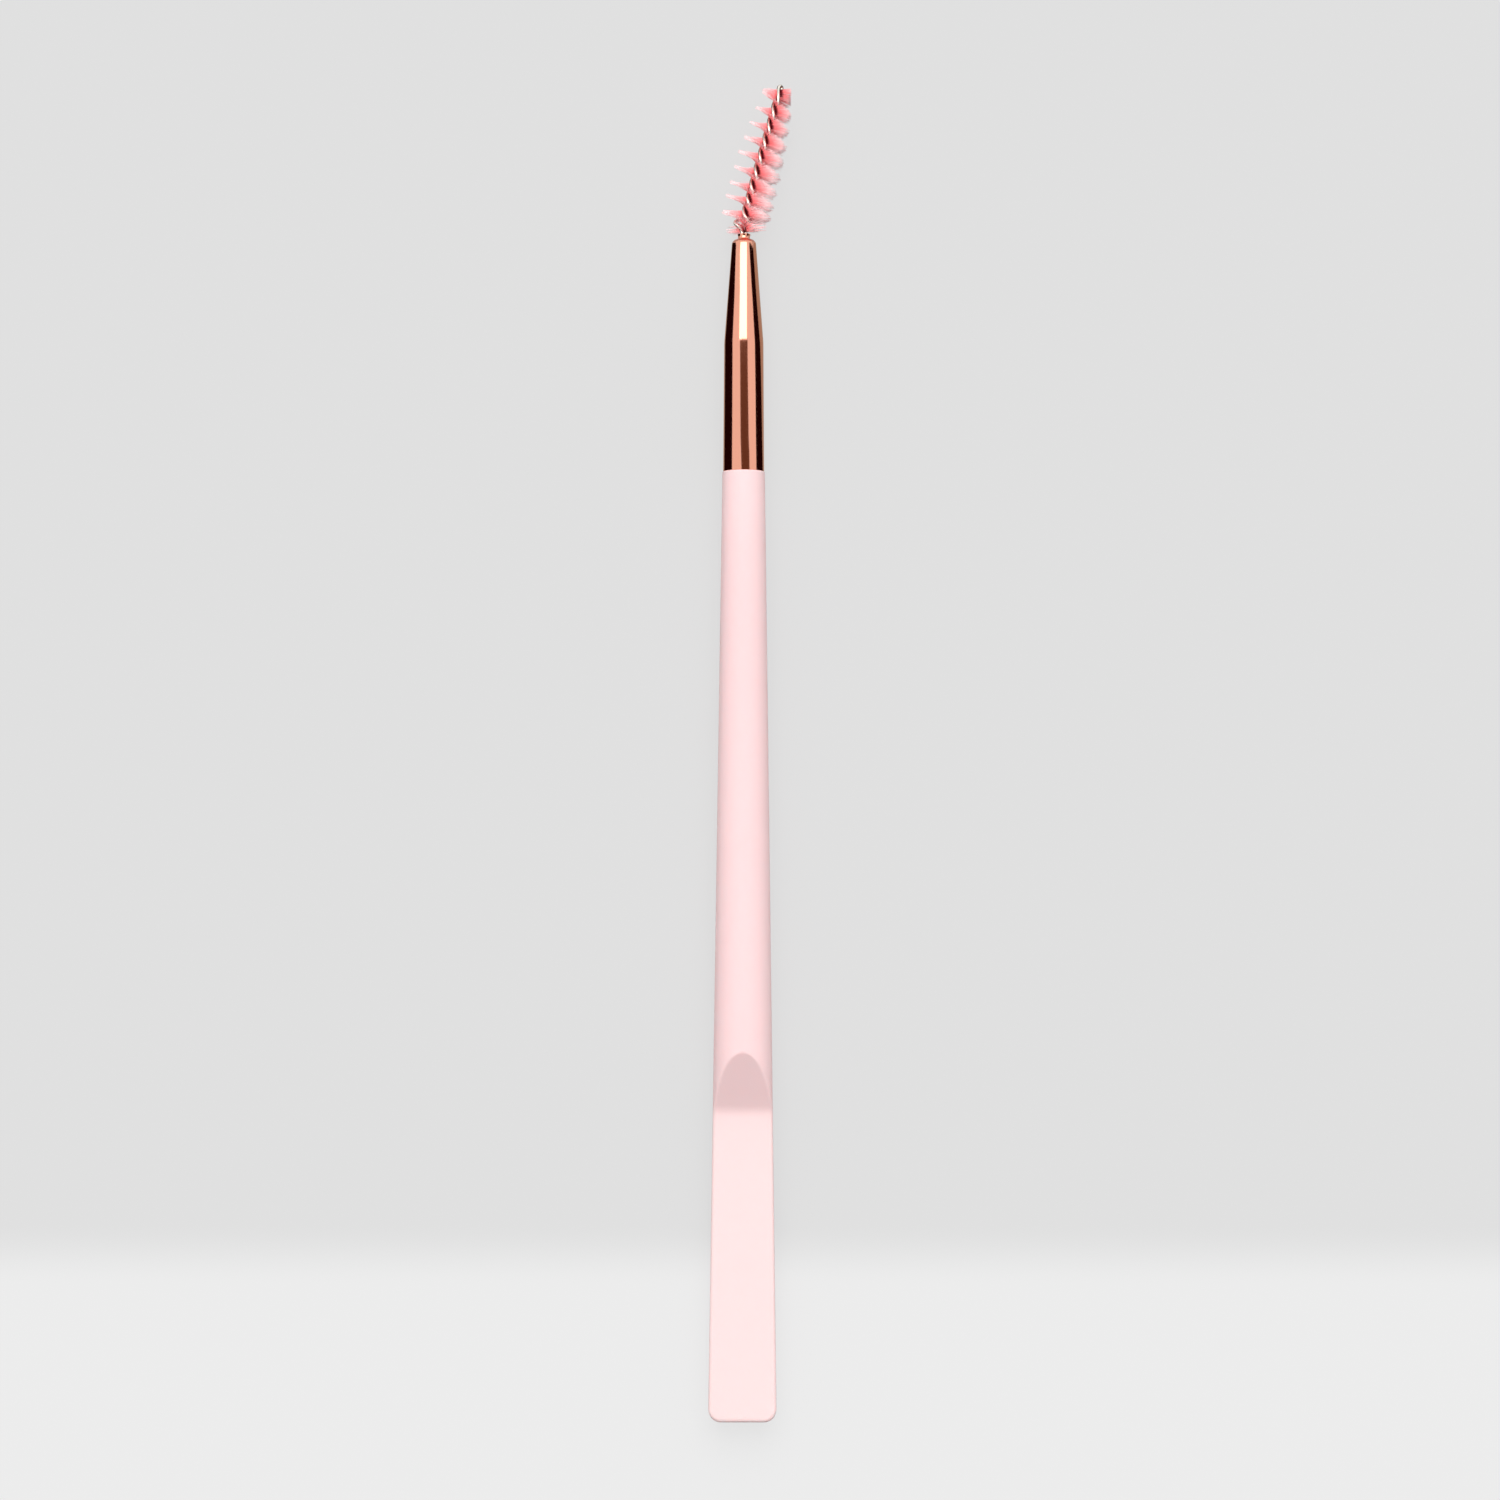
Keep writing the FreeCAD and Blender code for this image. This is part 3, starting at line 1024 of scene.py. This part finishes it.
# How far the suns lean over and how wide they look
key_lean = math.radians(45)
key_width = math.radians(45)
brush_lean = math.radians(40)
brush_width = math.radians(25)

# How far the floor lies under the tool, the share of its grey that is its own light to the camera, and how
# far what it reflects is dimmed
floor_gap = 0.02 * mm
own_light = 0.8
floor_dimming = 0.65


def backdrop_material(sizes):
    material, tree = empty_material("backdrop")
    place = tree.nodes.new("ShaderNodeTexCoord")
    split = tree.nodes.new("ShaderNodeSeparateXYZ")
    fold = tree.nodes.new("ShaderNodeMapRange")
    fold.interpolation_type = "SMOOTHSTEP"
    fold.inputs["From Min"].default_value = sizes.fold_start
    fold.inputs["From Max"].default_value = sizes.fold_end
    shades = tree.nodes.new("ShaderNodeMix")
    shades.data_type = "RGBA"
    shades.inputs["A"].default_value = rgba(sizes.upper_grey)
    shades.inputs["B"].default_value = rgba(sizes.lower_grey)
    darker = tree.nodes.new("ShaderNodeHueSaturation")
    darker.inputs["Value"].default_value = floor_dimming
    matt = tree.nodes.new("ShaderNodeBsdfDiffuse")
    glow = tree.nodes.new("ShaderNodeEmission")
    rays = tree.nodes.new("ShaderNodeLightPath")
    seen = tree.nodes.new("ShaderNodeMath")
    seen.operation = "MULTIPLY"
    seen.inputs[1].default_value = own_light
    mix = tree.nodes.new("ShaderNodeMixShader")
    end = tree.nodes.new("ShaderNodeOutputMaterial")
    link = tree.links.new
    link(place.outputs["Object"], split.inputs["Vector"])
    link(split.outputs["Y"], fold.inputs["Value"])
    link(fold.outputs["Result"], shades.inputs["Factor"])
    link(shades.outputs["Result"], darker.inputs["Color"])
    link(darker.outputs["Color"], matt.inputs["Color"])
    link(shades.outputs["Result"], glow.inputs["Color"])
    link(rays.outputs["Is Camera Ray"], seen.inputs[0])
    link(seen.outputs["Value"], mix.inputs["Fac"])
    link(matt.outputs["BSDF"], mix.inputs[1])
    link(glow.outputs["Emission"], mix.inputs[2])
    link(mix.outputs["Shader"], end.inputs["Surface"])
    return material


def card_material(name, tint, strength):
    material, tree = empty_material(name)
    glow = tree.nodes.new("ShaderNodeEmission")
    glow.inputs["Color"].default_value = tint
    glow.inputs["Strength"].default_value = strength
    end = tree.nodes.new("ShaderNodeOutputMaterial")
    tree.links.new(glow.outputs["Emission"], end.inputs["Surface"])
    return material


def add_card(name, rows, material):
    """A card seen only in reflections, as rows of two corners in mm from the seam's middle on the floor."""
    deselect()
    bpy.ops.mesh.primitive_grid_add(x_subdivisions=1, y_subdivisions=len(rows) - 1, size=0.1)
    card = named(name)
    corners = [corner for row in rows for corner in row]
    for vertex, (x, y, z) in zip(card.data.vertices, corners):
        vertex.co = (axis_x + x * mm, seam_y + y * mm, z * mm)
    card.data.materials.append(material)
    card.visible_camera = False
    card.visible_diffuse = False
    card.visible_shadow = False
    card.visible_transmission = False
    card.visible_volume_scatter = False


class SetStage(bpy.types.Operator):
    """Sets up the backdrop, the reflection cards, the soft light and the camera"""

    bl_idname = "applicator.set_stage"
    bl_label = "Stage"

    def execute(self, context):
        sizes = context.scene.applicator_stage
        self.lay_backdrop(sizes)
        self.hang_cards()
        self.light(context.scene, sizes)
        self.aim_camera(context.scene, sizes)
        context.scene.view_settings.view_transform = "Standard"
        return {"FINISHED"}

    def lay_backdrop(self, sizes):
        deselect()
        bpy.ops.mesh.primitive_plane_add(size=4, location=(0, 0, -floor_gap))
        floor = named("backdrop")
        bpy.ops.object.transform_apply(location=True, rotation=True, scale=True)
        floor.data.materials.append(backdrop_material(sizes))

    def hang_cards(self):
        white = card_material("softbox_white", (1, 1, 1, 1), strength=3.5)
        brown = card_material("card_brown", (0.9, 0.46, 0.28, 1), strength=0.16)
        shade = card_material("card_shade", (0.44, 0.4, 0.33, 1), strength=1)
        black = card_material("card_black", (0.012, 0.001, 0.001, 1), strength=1)
        # The cards over the tool: how far along it each row lies and its two sides, in mm, at one height
        over = 63.8
        strip = ((33, -29, 18), (38, -29.5, 18.5), (47, -32.5, 24), (53, -40, 28), (60, -44, 33))
        warm = ((-20, -8, 44), (6.5, -16, 36.5), (26, -23.7, 23.7), (33, -26, 24))
        add_card("softbox_card", [((a, y, over), (b, y, over)) for y, a, b in strip], white)
        add_card("brown_card", [((a, y, over), (b, y, over)) for y, a, b in warm], brown)
        left_edge = (
            ((-7.9, -2, 8.6), (-6.2, -2, 0.06)),
            ((-7.9, 17, 8.4), (-5.8, 17, 0.06)),
            ((-7.9, 25, 7.8), (-4.4, 25, 0.06)),
            ((-7.9, 32.2, 6.2), (-4, 31.6, 0.06)),
        )
        right_edge = (
            ((7.9, -2, 7.4), (6.2, -2, 0.06)),
            ((7.9, 11, 8), (7.9, 11, 1.1)),
            ((7.9, 18.4, 8.6), (7.9, 18.4, 3)),
            ((7.9, 24.3, 8.9), (7.9, 24.3, 3.7)),
            ((7.9, 33.6, 10.9), (7.9, 31.4, 4)),
        )
        add_card("black_flag_left", left_edge, black)
        add_card("black_flag_right", right_edge, black)
        add_card("shade_card_left", [((x, y, 0.04), (-1, y, 0.03)) for _, (x, y, z) in left_edge], shade)
        add_card("shade_card_right", [((x + 0.3, y, z), (1, y, 0.03)) for _, (x, y, z) in right_edge], shade)
        dim = card_material("card_dim", (0.07, 0.05, 0.04, 1), strength=1)
        for name, start, end in (("brush_flag_left", -5.5, -1), ("brush_flag_right", 8, 12.5)):
            add_card(name, [((x, y, 6.6), (x, y, 0.06)) for x, y in ((start, 39), (end, 57))], dim)

    def add_sun(self, name, rotation, location, strength, width):
        deselect()
        bpy.ops.object.light_add(type="SUN", rotation=rotation, location=location)
        sun = named(name)
        sun.data.energy = strength
        sun.data.angle = width
        sun.visible_glossy = False
        return sun

    def light(self, scene, sizes):
        self.add_sun("key_light", (-key_lean, 0, 0), (0, 0.3, 0.4), sizes.key_strength, key_width)
        over_brush = self.add_sun(
            "brush_light", (0, -brush_lean, 0), (-0.3, 0.05, 0.4), sizes.brush_strength, brush_width
        )
        lit = bpy.data.collections.new("lit_by_brush_light")
        lit.objects.link(bpy.data.objects["bristle_filaments"])
        over_brush.light_linking.receiver_collection = lit
        self.light_sky(scene, sizes)

    def light_sky(self, scene, sizes):
        """A sky that is even to the camera and in reflections, and lights the tool from the key's side."""
        world = bpy.data.worlds.new("studio")
        scene.world = world
        world.use_nodes = True
        tree = world.node_tree
        sky = tree.nodes["Background"]
        sky.inputs["Color"].default_value = (1, 1, 1, 1)
        rays = tree.nodes.new("ShaderNodeLightPath")
        seen = tree.nodes.new("ShaderNodeMath")
        seen.operation = "MAXIMUM"
        place = tree.nodes.new("ShaderNodeTexCoord")
        above = tree.nodes.new("ShaderNodeVectorMath")
        above.operation = "DOT_PRODUCT"
        above.inputs[1].default_value = (0, math.sin(key_lean), math.cos(key_lean))
        slope = tree.nodes.new("ShaderNodeMapRange")
        slope.inputs["From Min"].default_value = -0.3
        slope.inputs["To Min"].default_value = 0
        slope.inputs["To Max"].default_value = sizes.sky_strength
        pick = tree.nodes.new("ShaderNodeMix")
        pick.inputs["B"].default_value = 1.0
        link = tree.links.new
        link(rays.outputs["Is Camera Ray"], seen.inputs[0])
        link(rays.outputs["Is Glossy Ray"], seen.inputs[1])
        link(place.outputs["Generated"], above.inputs[0])
        link(above.outputs["Value"], slope.inputs["Value"])
        link(seen.outputs["Value"], pick.inputs["Factor"])
        link(slope.outputs["Result"], pick.inputs["A"])
        link(pick.outputs["Result"], sky.inputs["Strength"])

    def aim_camera(self, scene, sizes):
        deselect()
        bpy.ops.object.camera_add(
            location=(axis_x + camera_aside, seam_y - camera_back, axis_z + sizes.camera_height),
            rotation=(0, 0, camera_roll),
        )
        camera = named("photo_camera")
        camera.data.lens = sizes.lens
        camera.data.sensor_width = 36
        camera.data.clip_start = 0.01
        scene.camera = camera


class ApplicatorPanel(bpy.types.Panel):
    """Lists the applicator's pieces and the stage"""

    bl_idname = "VIEW3D_PT_brow_applicator"
    bl_label = "Brow applicator"
    bl_space_type = "VIEW_3D"
    bl_region_type = "UI"
    bl_category = "Brow applicator"

    def draw(self, context):
        for step in steps:
            self.layout.operator(step.bl_idname)


groups = (
    ("applicator_handle", HandleProperties),
    ("applicator_ferrule", FerruleProperties),
    ("applicator_wire", WireProperties),
    ("applicator_bristles", BristleProperties),
    ("applicator_stage", StageProperties),
)
steps = (MixFinishes, MakeHandle, MakeFerrule, MakeWire, MakeBristles, DressGlue, SetStage)


def register():
    for name, group in groups:
        bpy.utils.register_class(group)
        setattr(bpy.types.Scene, name, PointerProperty(type=group))
    for step in (*steps, ApplicatorPanel):
        bpy.utils.register_class(step)


def unregister():
    for step in (ApplicatorPanel, *reversed(steps)):
        bpy.utils.unregister_class(step)
    for name, group in reversed(groups):
        delattr(bpy.types.Scene, name)
        bpy.utils.unregister_class(group)


def main():
    register()
    bpy.ops.applicator.mix_finishes()
    bpy.ops.applicator.make_handle()
    bpy.ops.applicator.make_ferrule()
    bpy.ops.applicator.make_wire()
    bpy.ops.applicator.make_bristles()
    bpy.ops.applicator.dress_glue()
    bpy.ops.applicator.set_stage()


if __name__ == "__main__":
    main()
